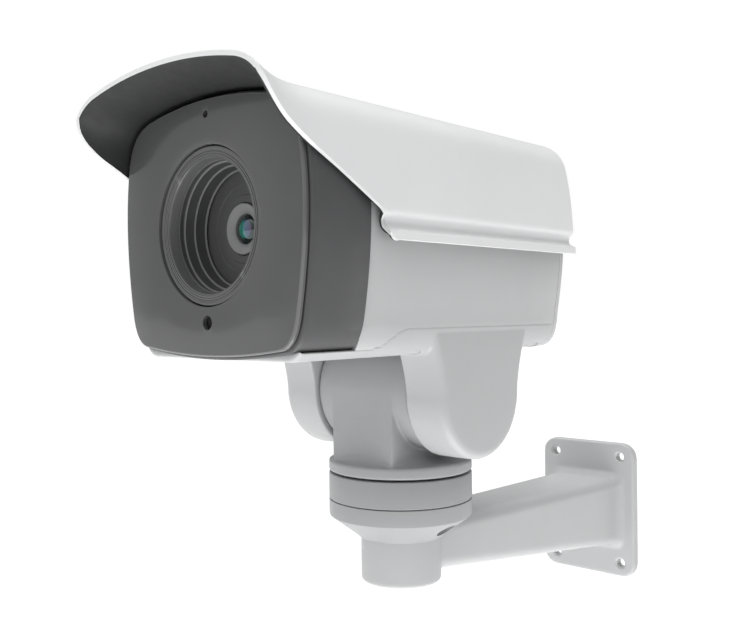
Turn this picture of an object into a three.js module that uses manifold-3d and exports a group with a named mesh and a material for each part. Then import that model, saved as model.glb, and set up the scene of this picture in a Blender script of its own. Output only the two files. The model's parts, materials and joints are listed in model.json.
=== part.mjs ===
// A bullet-style pan and tilt camera on its wall arm, as separate named solids. Millimetres, +Z up.
// Origin: centre of the wall plate's back face. The wall is towards +Y and the camera looks towards -Y.
import * as THREE from "three";
import { mergeVertices } from "three/addons/utils/BufferGeometryUtils.js";
import Module from "manifold-3d";

const wasm = await Module();
wasm.setup();

// ---- Driving dimensions ----

const GAP = 0.3; // between pieces that touch

// Pan axis, vertical, and the height of the joint line that it turns on
const PAN_Y = -194;
const PAN_Z = 50;
const BASE_RADIUS = 35;

// Tilt axis, along X, above the joint line
const TILT_RISE = 39.5;
const DRUM_RADIUS = 28;
const DRUM_HALF = 28;

// Wall plate and arm
const PLATE = { width: 64, height: 84, thickness: 6, corner: 9, holeX: 22.6, holeZ: 33.6, holeRadius: 2.75 };
const ARM = {
  wallHalf: 22,
  tipHalf: 16,
  wallTop: 20.5,
  wallBottom: -21.5,
  tipTop: 24.5,
  tipBottom: 0.5,
  wall: 3.2,
  foot: 3.5, // how far the arm spreads where it meets the plate
};
const BOSS = { radius: 19.6, bottom: -53.7, top: -24.5, bore: 14.5 };

// Camera head, measured from the tilt axis; Y from the pan axis
const FACE_Y = -117;
const BEZEL_FRONT = FACE_Y + 2.6;
const BEZEL_REAR = -83;
const HOUSING_REAR = 61;
const HEAD_REAR = 64;
const LENS_Z = 72.3;
const HOUSING_SCALE = 0.965; // housing section against the face outline
const LINER_SCALE = 0.925; // housing section where the tray wraps it
const CAVITY_SCALE = 0.91;
const TRAY_TOP = 31.5;
const EAR_OUTER = 50.5;
const EAR_BOTTOM_RADIUS = 30;
const TRAY_BOTTOM = 19.2;
const TONGUE_TOP = 23;

// Gears
const PAN_GEAR = { teeth: 38, module: 0.7 };
const PAN_PINION = { teeth: 12, module: 0.7 };
const TILT_GEAR = { teeth: 40, module: 0.6 };
const TILT_PINION = { teeth: 12, module: 0.6 };

// ---- Materials ----

const paint = (name, color, roughness, metalness = 0) =>
  new THREE.MeshStandardMaterial({ name, color, roughness, metalness });
const MATERIALS = {
  white: paint("white_paint", 0xd9dada, 0.45),
  casting: paint("base_casting", 0xc9caca, 0.5),
  dark: paint("bezel_plastic", 0x4a4b4c, 0.45),
  glass: paint("smoked_glass", 0x3c3d3e, 0.12),
  black: paint("black_plastic", 0x1d1e1f, 0.55),
  rubber: paint("seal_rubber", 0x262626, 0.8),
  steel: paint("steel", 0xa9abad, 0.35, 1),
  brass: paint("brass", 0xb59a55, 0.35, 1),
  lens: paint("lens_glass", 0x31464a, 0.05),
  grey: paint("grey_plastic", 0x8b8c8d, 0.5),
  board: paint("circuit_board", 0x1f5136, 0.6),
  gear: paint("gear_nylon", 0xd8d4c4, 0.55),
};

// ---- Solids ----

// A closed three.js geometry as a solid; a profile drawn the other way round is turned outwards.
function solid(geometry) {
  const bare = geometry.clone();
  bare.deleteAttribute("normal");
  bare.deleteAttribute("uv");
  const merged = mergeVertices(bare, 1e-4);
  const vertProperties = new Float32Array(merged.attributes.position.array);
  const triVerts = new Uint32Array(merged.index.array);
  const make = () => new wasm.Manifold(new wasm.Mesh({ numProp: 3, vertProperties, triVerts }));
  const made = make();
  if (made.volume() > 0) return made;
  for (let i = 0; i < triVerts.length; i += 3) {
    [triVerts[i + 1], triVerts[i + 2]] = [triVerts[i + 2], triVerts[i + 1]];
  }
  return make();
}

function geometryOf(made) {
  const mesh = made.asOriginal().simplify(0.008).getMesh();
  const geometry = new THREE.BufferGeometry();
  geometry.setAttribute("position", new THREE.BufferAttribute(new Float32Array(mesh.vertProperties), 3));
  geometry.setIndex(new THREE.BufferAttribute(new Uint32Array(mesh.triVerts), 1));
  geometry.computeVertexNormals();
  return geometry;
}

const join = (first, ...others) => others.reduce((sum, next) => sum.add(next), first);
const cut = (base, ...tools) => tools.reduce((rest, tool) => rest.subtract(tool), base);

// A box from its lowest to its highest corner.
function block([x0, y0, z0], [x1, y1, z1]) {
  const geometry = new THREE.BoxGeometry(x1 - x0, y1 - y0, z1 - z0);
  return solid(geometry.translate((x0 + x1) / 2, (y0 + y1) / 2, (z0 + z1) / 2));
}

// A round bar of the given radius between two places on an axis through (a, b):
// along X the pair is (y, z), along Y it is (x, z), along Z it is (x, y).
function bar(axis, radius, from, to, [a, b] = [0, 0], sides = 32) {
  const geometry = new THREE.CylinderGeometry(radius, radius, to - from, sides);
  geometry.translate(0, (from + to) / 2, 0);
  if (axis === "x") geometry.rotateZ(-Math.PI / 2).translate(0, a, b);
  if (axis === "y") geometry.translate(a, 0, b);
  if (axis === "z") geometry.rotateX(Math.PI / 2).translate(a, b, 0);
  return solid(geometry);
}

// A closed profile of [radius, height] pairs turned about an axis.
function turned(axis, profile, [a, b] = [0, 0], sides = 36) {
  const points = [...profile, profile[0]].map(([radius, height]) => new THREE.Vector2(radius, height));
  const geometry = new THREE.LatheGeometry(points, sides);
  if (axis === "x") geometry.rotateZ(-Math.PI / 2).translate(0, a, b);
  if (axis === "y") geometry.translate(a, 0, b);
  if (axis === "z") geometry.rotateX(Math.PI / 2).translate(a, b, 0);
  return solid(geometry);
}

// A shape's outline with no point twice, so that its bevels stay closed.
function plain(shape, curve) {
  const points = shape.getPoints(curve);
  const apart = (point, i) => point.distanceTo(points.at(i - 1)) > 1e-3;
  return new THREE.Shape(points.filter(apart));
}

function extruded(shape, length, curve, bevel) {
  return new THREE.ExtrudeGeometry(plain(shape, curve), {
    depth: length - 2 * bevel,
    bevelEnabled: bevel > 0,
    bevelThickness: bevel,
    bevelSize: bevel,
    bevelOffset: -bevel,
    bevelSegments: 1,
  }).translate(0, 0, bevel);
}

// A shape drawn in (x, z), pushed out along Y from one place to another.
function slabY(shape, from, to, { curve = 8, bevel = 0 } = {}) {
  const geometry = extruded(shape, to - from, curve, bevel);
  return solid(geometry.rotateX(Math.PI / 2).translate(0, to, 0));
}

// A shape drawn in (y, z), pushed out along X.
function slabX(shape, from, to, { curve = 8, bevel = 0 } = {}) {
  const geometry = extruded(shape, to - from, curve, bevel);
  const turn = new THREE.Matrix4().set(0, 0, 1, from, 1, 0, 0, 0, 0, 1, 0, 0, 0, 0, 0, 1);
  return solid(geometry.applyMatrix4(turn));
}

// A shape drawn in (x, y), pushed up along Z.
function slabZ(shape, from, to, { curve = 8, bevel = 0 } = {}) {
  return solid(extruded(shape, to - from, curve, bevel).translate(0, 0, from));
}

// A skin over rings that all have the same number of points, closed at each end by a flat cap.
// A cap is a fan about the ring's middle, or a band across it where the ring is a long thin wall,
// whose points run out along one side and back along the other.
function loft(rings, band = false) {
  const count = rings[0].length;
  const points = rings.flat();
  const index = [];
  for (let start = 0; start < (rings.length - 1) * count; start += count) {
    for (let i = 0; i < count; i++) {
      const a = start + i;
      const b = start + ((i + 1) % count);
      index.push(a, b, b + count, a, b + count, a + count);
    }
  }
  for (const [start, first] of [[0, true], [(rings.length - 1) * count, false]]) {
    const add = (a, b, c) => index.push(...(first ? [c, b, a] : [a, b, c]));
    if (band) {
      for (let i = 0; i < count / 2 - 1; i++) {
        const [a, b, c, d] = [i, i + 1, count - 2 - i, count - 1 - i].map((k) => start + k);
        add(a, b, c);
        add(a, c, d);
      }
    } else {
      const middle = points.length;
      const ring = points.slice(start, start + count);
      points.push([0, 1, 2].map((axis) => ring.reduce((sum, point) => sum + point[axis], 0) / count));
      for (let i = 0; i < count; i++) {
        add(start + i, start + ((i + 1) % count), middle);
      }
    }
  }
  const geometry = new THREE.BufferGeometry();
  geometry.setAttribute("position", new THREE.BufferAttribute(new Float32Array(points.flat()), 3));
  geometry.setIndex(index);
  return solid(geometry);
}

// ---- Outlines ----

function roundedRect(width, height, radius, [cx, cy] = [0, 0]) {
  const [x, y] = [width / 2 - radius, height / 2 - radius];
  const shape = new THREE.Shape();
  shape.absarc(cx + x, cy + y, radius, 0, Math.PI / 2);
  shape.absarc(cx - x, cy + y, radius, Math.PI / 2, Math.PI);
  shape.absarc(cx - x, cy - y, radius, Math.PI, 1.5 * Math.PI);
  shape.absarc(cx + x, cy - y, radius, 1.5 * Math.PI, 2 * Math.PI);
  return shape;
}

// The head's section in (x, z): four bowed sides and soft corners, shrunk about the lens axis by scale.
function headOutline(scale = 1) {
  const at = (x, z) => [x * scale, LENS_Z + (z - LENS_Z) * scale];
  const shape = new THREE.Shape();
  shape.moveTo(...at(43, 22.3));
  shape.quadraticCurveTo(...at(50.6, 23.4), ...at(53, 35));
  shape.quadraticCurveTo(...at(60.6, 76), ...at(54.8, 104));
  shape.quadraticCurveTo(...at(51.9, 117.2), ...at(38, 120));
  shape.quadraticCurveTo(...at(0, 127.6), ...at(-38, 120));
  shape.quadraticCurveTo(...at(-51.9, 117.2), ...at(-54.8, 104));
  shape.quadraticCurveTo(...at(-60.6, 76), ...at(-53, 35));
  shape.quadraticCurveTo(...at(-50.6, 23.4), ...at(-43, 22.3));
  shape.quadraticCurveTo(...at(0, 16.1), ...at(43, 22.3));
  return shape;
}

const headSlab = (scale, from, to, options) => slabY(headOutline(scale), from, to, { curve: 5, ...options });

// ---- The tree of placed groups ----

const camera = new THREE.Group();
const base = new THREE.Group();
base.position.set(0, PAN_Y, PAN_Z);
const head = new THREE.Group();
head.position.set(0, 0, TILT_RISE);
base.add(head);
camera.add(base);

function part(group, name, made, material) {
  const mesh = new THREE.Mesh(geometryOf(made), material);
  mesh.name = name;
  group.add(mesh);
}

// ---- Wall bracket: plate, hollow tapered arm and end boss, one casting ----

// One rectangle of the arm, as a ring of corners, at a place along Y; inset makes the hollow.
function armRing(y, half, bottom, top, inset = 0) {
  const [x, low, high] = [half - inset, bottom + inset, top - inset];
  const round = Math.min(6, x / 2) - inset / 2;
  return roundedRect(2 * x, high - low, round, [0, (low + high) / 2])
    .getPoints(2)
    .slice(0, -1)
    .map((point) => [point.x, y, point.y]);
}

// Where the locking screw sits on the collar's cone, and the lean of its axis from straight up
const CONE_SPOT = [27.8, 0, -26.4];
const CONE_LEAN = 2.51;

// The space that the base collar takes up, grown by the gap, about the pan axis.
const COLLAR_ENVELOPE = [
  [20, -32.2],
  [21.4, -32.2],
  [22.4, -30.9],
  [34.5, -22],
  [36, -20],
  [36, 0],
  [20, 0],
];

function wallBracket() {
  const { width, height, thickness, corner, holeX, holeZ, holeRadius } = PLATE;
  const plate = slabY(roundedRect(width, height, corner), -thickness, 0, { curve: 3, bevel: 0.6 });
  const arm = (inset, near, far) =>
    loft([
      armRing(near, ARM.wallHalf + ARM.foot, ARM.wallBottom - ARM.foot, ARM.wallTop + ARM.foot, inset),
      armRing(near - 5, ARM.wallHalf, ARM.wallBottom, ARM.wallTop, inset),
      armRing(far, ARM.tipHalf, ARM.tipBottom, ARM.tipTop, inset),
    ]);
  const boss = bar("z", BOSS.radius, PAN_Z + BOSS.bottom, PAN_Z + BOSS.top, [0, PAN_Y], 40);
  const collar = turned("z", COLLAR_ENVELOPE, [0, PAN_Y]).translate(0, 0, PAN_Z);
  const casting = join(cut(join(plate, arm(0, -thickness, PAN_Y + 8)), collar), boss);
  const channel = arm(ARM.wall, 1, PAN_Y + 10);
  const bore = bar("z", BOSS.bore, PAN_Z + BOSS.bottom + 4, PAN_Z + BOSS.top + 1, [0, PAN_Y], 32);
  const holes = [-1, 1].flatMap((sx) =>
    [-1, 1].map((sz) => bar("y", holeRadius, -thickness - 1, 1, [sx * holeX, sz * holeZ], 20)),
  );
  return cut(casting, channel, bore, ...holes);
}

part(camera, "wall_bracket", wallBracket(), MATERIALS.white);

// ---- Fixed base: collar on the boss, seal, ring, outer race and the gear that the head walks round ----

function baseCollar() {
  const shell = turned("z", [
    [BASE_RADIUS, -13.6],
    [BASE_RADIUS, -20.8],
    [34.1, -21.7],
    [22, -30.6],
    [20.9, -31.8],
    [20, -31.8],
    [20, -24],
    [30, -20],
    [30, -13.6],
    [31.2, -13.6],
    [31.2, -15.2],
    [33.4, -15.2],
    [33.4, -13.6],
  ]);
  return cut(shell, coneBar(4.4, -6, 12, 20));
}

// Turns a piece that stands along Y until it is square to the collar's cone, on its +X side.
function onCone(geometry) {
  return solid(geometry.rotateX(Math.PI / 2).rotateY(CONE_LEAN).translate(...CONE_SPOT));
}

const coneBar = (radius, from, to, sides) =>
  onCone(new THREE.CylinderGeometry(radius, radius, to - from, sides).translate(0, (from + to) / 2, 0));

part(base, "collar_screw", cut(coneBar(3.9, -5.6, -2, 20), coneBar(1.6, -4, -1, 6)), MATERIALS.steel);
part(base, "base_collar", baseCollar(), MATERIALS.casting);
part(
  base,
  "base_seal",
  turned("z", [[31.5, -13.3], [31.5, -14.9], [33.1, -14.9], [33.1, -13.3]], [0, 0], 36),
  MATERIALS.rubber,
);
part(
  base,
  "base_ring",
  turned("z", [
    [BASE_RADIUS - 0.4, -0.5],
    [BASE_RADIUS, -0.9],
    [BASE_RADIUS, -13],
    [30, -13],
    [30, -0.5],
  ]),
  MATERIALS.casting,
);
part(
  base,
  "pan_bearing_outer",
  turned("z", [[28, -3.5], [28, -9.5], [29.7, -9.5], [29.7, -3.5]], [0, 0], 28),
  MATERIALS.steel,
);

// A spur gear's outline: each tooth is a step out and back, narrower at its tip.
// turn shifts the teeth round by a share of one tooth, so that two gears mesh.
function gearShape({ teeth, module }, turn = 0) {
  const pitch = (teeth * module) / 2;
  const [root, tip] = [pitch - 1.15 * module, pitch + 0.75 * module];
  const corners = [[root, -0.3], [tip, -0.1], [tip, 0.1], [root, 0.3]];
  const points = [];
  for (let tooth = 0; tooth < teeth; tooth++) {
    for (const [radius, offset] of corners) {
      const angle = ((tooth + turn + offset) / teeth) * 2 * Math.PI;
      points.push(new THREE.Vector2(radius * Math.cos(angle), radius * Math.sin(angle)));
    }
  }
  return new THREE.Shape(points);
}

const pitchRadius = ({ teeth, module }) => (teeth * module) / 2;
const PAN_MOTOR_Y = -(pitchRadius(PAN_GEAR) + pitchRadius(PAN_PINION));
const TILT_MOTOR_Z = TILT_RISE - pitchRadius(TILT_GEAR) - pitchRadius(TILT_PINION);
const GEAR_LEVEL = [-9, -4];

function panGear() {
  const wheel = slabZ(gearShape(PAN_GEAR), ...GEAR_LEVEL);
  const post = bar("z", 11, -24.2, -8.5, [0, 0], 24);
  const flange = bar("z", 19, -24.2, -22.2, [0, 0], 32);
  return cut(join(wheel, post, flange), bar("z", 8, -25, 0, [0, 0], 24));
}

part(base, "pan_gear", panGear(), MATERIALS.gear);

// ---- Turntable: disc, flared column and drum in one casting, with both motors inside ----

// The column's foot: each flat side flares out to the disc's circle, and the corners already reach it.
function flareRings() {
  const [halfX, halfY, reach, top, slope] = [19, DRUM_RADIUS, BASE_RADIUS - 0.9, 5.8, 0.67];
  const sides = 36;
  const steps = 3;
  return Array.from({ length: steps + 1 }, (_, step) => {
    const angle = (step / steps) * (Math.PI / 2);
    const spread = 1 - Math.sin(angle);
    return Array.from({ length: sides }, (_, side) => {
      const turn = ((side + 0.5) / sides) * 2 * Math.PI;
      const [cos, sin] = [Math.cos(turn), Math.sin(turn)];
      const box = Math.min(halfX / Math.abs(cos), halfY / Math.abs(sin));
      const room = Math.max(reach, box) - box;
      const radius = box + room * spread;
      return [radius * cos, radius * sin, top + (0.3 + room * slope) * (1 - Math.cos(angle))];
    });
  });
}

function turntableNeck() {
  const disc = turned("z", [
    [0, 0.5],
    [BASE_RADIUS - 0.4, 0.5],
    [BASE_RADIUS, 0.9],
    [BASE_RADIUS, 5.2],
    [34.2, 6],
    [0, 6],
  ]);
  const flare = loft(flareRings());
  const column = block([-19, -DRUM_RADIUS, 5], [19, DRUM_RADIUS, TILT_RISE]);
  const drum = bar("x", DRUM_RADIUS, -DRUM_HALF, DRUM_HALF, [0, TILT_RISE], 40);
  const hub = turned("z", [[23.4, 1], [25.2, 1], [25.2, -11], [23.4, -11]]);
  const room = block([-15.5, -24.5, 2.5], [15.5, 24.5, TILT_RISE]);
  const drumRoom = bar("x", 24.5, -24.5, 24.5, [0, TILT_RISE], 24);
  const bearingSeats = bar("x", 9.4, -DRUM_HALF - 1, DRUM_HALF + 1, [0, TILT_RISE], 24);
  const cableHole = bar("z", 7.5, 0, 4, [0, 0], 24);
  const motorSeat = bar("z", 3, 0, 4, [0, PAN_MOTOR_Y], 16);
  return cut(join(disc, flare, column, drum, hub), room, drumRoom, bearingSeats, cableHole, motorSeat);
}

part(base, "turntable_neck", turntableNeck(), MATERIALS.casting);
part(
  base,
  "pan_bearing_inner",
  turned("z", [[25.5, -3.5], [25.5, -9.5], [27.3, -9.5], [27.3, -3.5]], [0, 0], 28),
  MATERIALS.steel,
);

const panShaft = bar("z", 1.2, -9, 3, [0, PAN_MOTOR_Y], 12);
part(base, "pan_motor", join(bar("z", 6.5, 2.8, 20, [0, PAN_MOTOR_Y], 24), panShaft), MATERIALS.steel);
const panPinion = slabZ(gearShape(PAN_PINION), ...GEAR_LEVEL);
const pinionBore = bar("z", 1.45, -10, 0, [0, 0], 12);
part(base, "pan_pinion", cut(panPinion, pinionBore).translate(0, PAN_MOTOR_Y, 0), MATERIALS.brass);

for (const [name, side] of [["tilt_bearing_right", 1], ["tilt_bearing_left", -1]]) {
  const race = turned("x", [[6.4, 24.8], [9.1, 24.8], [9.1, 27.6], [6.4, 27.6]], [0, 0], 24);
  part(base, name, (side > 0 ? race : race.rotate(0, 0, 180)).translate(0, 0, TILT_RISE), MATERIALS.steel);
}

const TILT_GEAR_SPAN = [8, 12];
const tiltMotor = join(
  bar("x", 6, -14.5, 6.5, [0, TILT_MOTOR_Z], 24),
  bar("x", 1.2, 6, 12.5, [0, TILT_MOTOR_Z], 12),
);
part(base, "tilt_motor", tiltMotor, MATERIALS.steel);
const tiltPinion = cut(
  slabX(gearShape(TILT_PINION), ...TILT_GEAR_SPAN),
  bar("x", 1.45, 7, 13, [0, 0], 12),
);
part(base, "tilt_pinion", tiltPinion.translate(0, 0, TILT_MOTOR_Z), MATERIALS.brass);

// ---- Tilting head ----

// Everything below is placed from the tilt axis.
const tiltShaft = cut(bar("x", 6, -33.5, 33.5), bar("x", 3.5, -34, 34, [0, 0], 16));
part(head, "tilt_shaft", tiltShaft, MATERIALS.steel);
const tiltGear = cut(slabX(gearShape(TILT_GEAR, 0.5), ...TILT_GEAR_SPAN), bar("x", 6.3, 7, 13, [0, 0], 24));
part(head, "tilt_gear", tiltGear, MATERIALS.gear);

// The tray's section in (x, z), grown by a margin.
function traySection(margin = 0) {
  const [side, floor] = [51 + margin, TRAY_BOTTOM - margin];
  const shape = new THREE.Shape();
  shape.moveTo(side, 60);
  shape.lineTo(side, TRAY_TOP);
  shape.quadraticCurveTo(49.4 + margin, floor, 41, floor);
  shape.lineTo(-41, floor);
  shape.quadraticCurveTo(-49.4 - margin, floor, -side, TRAY_TOP);
  shape.lineTo(-side, 60);
  return shape;
}

// The tray seen from the side, in (y, z): full height at the rear, a thin tongue under the bezel.
function traySide(margin = 0) {
  const shape = new THREE.Shape();
  shape.moveTo(HOUSING_REAR + margin, 10);
  shape.lineTo(HOUSING_REAR + margin, TRAY_TOP + margin);
  shape.lineTo(-53, TRAY_TOP + margin);
  shape.quadraticCurveTo(-59.5, TRAY_TOP - 0.4 + margin, -64, 27.4 + margin);
  shape.quadraticCurveTo(-68.5, TONGUE_TOP + margin, -75, TONGUE_TOP + margin);
  shape.lineTo(-112.5 - margin, TONGUE_TOP + margin);
  shape.lineTo(-112.5 - margin, 10);
  return shape;
}

const trayEnvelope = (margin) =>
  slabX(traySide(margin), -60, 60, { curve: 5 }).intersect(
    slabY(traySection(margin), -113 - margin, 62 + margin, { curve: 5 }),
  );

// One ear from the side: a round foot about the tilt axis, with flanks that spread up into the tray.
function earSide(inset = 0) {
  const radius = EAR_BOTTOM_RADIUS - inset;
  const shape = new THREE.Shape();
  shape.moveTo(38 - inset, 28);
  shape.quadraticCurveTo(31 - inset, 12, radius, 0);
  shape.absarc(0, 0, radius, 0, -Math.PI, true);
  shape.quadraticCurveTo(-31 + inset, 12, -38 + inset, 28);
  return shape;
}

// The ear's outlines from its inner face out to its rounded outer edge.
function earRings(inner) {
  const round = 4;
  const ring = (x, inset) => plain(earSide(inset), 6).getPoints().map((point) => [x, point.x, point.y]);
  const edge = [0, 1, 2, 3].map((step) => {
    const angle = (step / 3) * (Math.PI / 2);
    return ring(EAR_OUTER - round + round * Math.sin(angle), round * (1 - Math.cos(angle)));
  });
  return [ring(inner, 0), ...edge];
}

function tiltYoke() {
  const inner = DRUM_HALF + 0.6;
  const [near, far] = [inner + 4, EAR_OUTER - 4.5];
  const hollow = join(slabX(earSide(4), near, far), block([near, -27, TRAY_BOTTOM], [far, 27, 40]));
  const shaftSeat = bar("x", 6.3, inner - 1, 34, [0, 0], 24);
  const shaftBoss = bar("x", 9.5, inner, inner + 6, [0, 0], 24);
  const drumRoom = bar("x", DRUM_RADIUS + 0.6, -inner, inner, [0, 0], 40);
  const bothSides = (made) => join(made, made.mirror([1, 0, 0]));
  const ears = bothSides(cut(join(cut(loft(earRings(inner)), hollow), shaftBoss), shaftSeat));
  const tray = cut(trayEnvelope(0), drumRoom, bothSides(hollow));
  return cut(join(tray, ears), headSlab(LINER_SCALE, -83, 70), ...recessTools());
}

// Four screw recesses in the tray's rounded lower edges, ahead of the ears and behind them.
const TRAY_SCREWS = [
  ["tray_screw_front_right", 43, -43],
  ["tray_screw_front_left", -43, -43],
  ["tray_screw_rear_right", 43, 50],
  ["tray_screw_rear_left", -43, 50],
];
const RECESS_TOP = TRAY_BOTTOM + 3.2;

function recessTools() {
  return TRAY_SCREWS.map(([, x, y]) => bar("z", 4.2, 10, RECESS_TOP, [x, y], 20));
}

part(head, "tilt_yoke", tiltYoke(), MATERIALS.white);
for (const [name, x, y] of TRAY_SCREWS) {
  const socket = bar("z", 1.4, 10, RECESS_TOP - 0.8, [x, y], 6);
  const screw = bar("z", 3.4, RECESS_TOP - 1.3, RECESS_TOP - 0.3, [x, y], 16);
  part(head, name, cut(screw, socket), MATERIALS.steel);
}

function housing() {
  const wall = cut(headSlab(HOUSING_SCALE, BEZEL_REAR + GAP, HOUSING_REAR), headSlab(CAVITY_SCALE, -90, 70));
  const recess = bar("x", DRUM_RADIUS + 3, -DRUM_HALF - 3, DRUM_HALF + 3, [0, 0], 40);
  const bridge = recess.intersect(headSlab(CAVITY_SCALE + 0.01, -60, 60));
  const drumRoom = bar("x", DRUM_RADIUS + 0.6, -DRUM_HALF - 0.6, DRUM_HALF + 0.6, [0, 0], 40);
  const liner = headSlab(LINER_SCALE - 0.006, -90, 70);
  const trayZone = cut(trayEnvelope(GAP), liner);
  return cut(join(cut(wall, trayZone), bridge), drumRoom);
}

part(head, "housing", housing(), MATERIALS.white);

part(
  head,
  "rear_cover",
  join(
    headSlab(HOUSING_SCALE, HOUSING_REAR + GAP, HEAD_REAR + 1, { bevel: 1 }),
    cut(
      headSlab(CAVITY_SCALE - 0.01, HOUSING_REAR - 4, HOUSING_REAR + 1),
      headSlab(0.86, HOUSING_REAR - 10, HOUSING_REAR - 0.5),
    ),
  ),
  MATERIALS.white,
);

// ---- Front of the head: bezel, seal, smoked window, lens surround ----

const MIC_Z = 117;
const SENSOR_Z = 34;

function bezel() {
  const outside = headSlab(1, BEZEL_FRONT, BEZEL_REAR, { bevel: 0.8 });
  const inside = headSlab(0.93, BEZEL_FRONT + 3, BEZEL_REAR + 2);
  const mouth = headSlab(0.87, BEZEL_FRONT - 1, BEZEL_FRONT + 4);
  const sealGroove = cut(headSlab(0.945, BEZEL_FRONT - 1, BEZEL_FRONT + 1), headSlab(0.905, -130, -100));
  const micPocket = bar("y", 2.9, BEZEL_FRONT - 1, BEZEL_FRONT + 5, [0, MIC_Z - 1.6], 16);
  return cut(outside, inside, mouth, sealGroove, micPocket, trayEnvelope(GAP));
}

part(head, "front_bezel", bezel(), MATERIALS.dark);
part(
  head,
  "front_seal",
  cut(headSlab(0.94, BEZEL_FRONT - 0.2, BEZEL_FRONT + 0.7), headSlab(0.91, -130, -100)),
  MATERIALS.rubber,
);

const window = cut(
  headSlab(0.975, FACE_Y, BEZEL_FRONT - 0.5, { bevel: 1 }),
  bar("y", 32, -130, -100, [0, LENS_Z], 40),
  bar("y", 1.5, -130, -100, [0, MIC_Z], 12),
  bar("y", 2.9, -130, -100, [0, SENSOR_Z], 20),
);
part(head, "front_window", window, MATERIALS.glass);
part(head, "microphone", bar("y", 2.6, BEZEL_FRONT, BEZEL_FRONT + 4, [0, MIC_Z - 1.6], 16), MATERIALS.black);
part(head, "light_sensor", bar("y", 3.4, BEZEL_FRONT, BEZEL_FRONT + 5, [0, SENSOR_Z], 20), MATERIALS.black);

const aboutLens = (profile, sides = 36) => turned("y", profile, [0, LENS_Z], sides);
const alongLens = (radius, from, to, sides = 32) => bar("y", radius, from, to, [0, LENS_Z], sides);

part(
  head,
  "lens_trim_ring",
  aboutLens([
    [27.2, FACE_Y + 1.8],
    [31.2, FACE_Y + 1.4],
    [31.6, FACE_Y + 1.8],
    [31.6, FACE_Y + 6],
    [26.6, FACE_Y + 6],
    [26.6, FACE_Y + 2.4],
  ]),
  MATERIALS.dark,
);

// The surround steps inwards three times on its way back to the lens.
function lensSurround() {
  const front = FACE_Y + 6.3;
  const steps = [[26, 3.2], [24.9, 7.6], [23.8, 12.4]];
  const inside = [[26.4, front]];
  for (const [radius, depth] of steps) {
    inside.push([radius + 0.9, front + depth - 0.5], [radius, front + depth]);
  }
  return aboutLens([...inside, [26.5, front + 12.4], [29, front + 6], [29, front]]);
}

part(head, "lens_surround", lensSurround(), MATERIALS.dark);

const LENS_FRONT = -98.5;
part(
  head,
  "lens_mask",
  cut(alongLens(26, LENS_FRONT + 1, LENS_FRONT + 2.5), alongLens(11, -110, -90, 24)),
  MATERIALS.black,
);
part(
  head,
  "lens_retainer",
  aboutLens([[10.6, LENS_FRONT], [10.6, LENS_FRONT + 4], [6.3, LENS_FRONT + 4], [6.3, LENS_FRONT + 1.2]], 36),
  MATERIALS.grey,
);
part(
  head,
  "front_lens",
  aboutLens([
    [0, LENS_FRONT + 0.6],
    [3.2, LENS_FRONT + 1.1],
    [6, LENS_FRONT + 2.6],
    [6, LENS_FRONT + 4],
    [0, LENS_FRONT + 4],
  ]),
  MATERIALS.lens,
);

// ---- Zoom lens and sensor ----

const BARREL = { inner: 10.2, outer: 13.5, front: LENS_FRONT + 4.4, rear: -46 };
part(
  head,
  "lens_barrel",
  cut(alongLens(BARREL.outer, BARREL.front, BARREL.rear), alongLens(BARREL.inner, -110, BARREL.rear + 1, 24)),
  MATERIALS.black,
);
const lensGroup = (y) =>
  aboutLens([[0, y], [6.5, y + 1], [9.8, y + 1], [9.8, y + 5], [6.5, y + 5], [0, y + 6]], 24);
part(head, "zoom_group", lensGroup(-88), MATERIALS.lens);
part(head, "focus_group", lensGroup(-62), MATERIALS.lens);
for (const [name, side, from] of [["zoom_motor", 1, -84], ["focus_motor", -1, -66]]) {
  part(head, name, bar("y", 5, from, from + 18, [side * 19, LENS_Z - 4], 16), MATERIALS.steel);
}
part(
  head,
  "ir_cut_filter",
  block([-8, BARREL.rear + 1.2, LENS_Z - 8], [8, BARREL.rear + 2.4, LENS_Z + 8]),
  MATERIALS.lens,
);
part(
  head,
  "image_sensor",
  block([-6, BARREL.rear + 3.6, LENS_Z - 5], [6, BARREL.rear + 5.2, LENS_Z + 5]),
  MATERIALS.black,
);
part(
  head,
  "sensor_board",
  block([-19, BARREL.rear + 5.5, LENS_Z - 19], [19, BARREL.rear + 7.1, LENS_Z + 19]),
  MATERIALS.board,
);

// ---- Boards and night lamps ----

part(
  head,
  "lamp_board",
  cut(headSlab(0.84, -107.5, -106), alongLens(30, -120, -90, 40)),
  MATERIALS.board,
);
for (const [name, side, up] of [
  ["night_lamp_upper_right", 1, 1],
  ["night_lamp_upper_left", -1, 1],
  ["night_lamp_lower_right", 1, -1],
  ["night_lamp_lower_left", -1, -1],
]) {
  part(head, name, bar("y", 5.5, -111.5, -107.8, [side * 34, LENS_Z + up * 27], 20), MATERIALS.lens);
}
part(head, "main_board", block([-38, -20, 42], [38, -18.4, 108]), MATERIALS.board);
part(head, "power_board", block([-34, 12, 44], [34, 13.6, 104]), MATERIALS.board);

// ---- Sunshield: a flared shell on two guides, which slides back along the housing ----

const SHADE = { rear: 64, tip: -139.5, flareFrom: -112, flareX: 0.09, flareZ: 0.1, foot: 64.7 };

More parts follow.
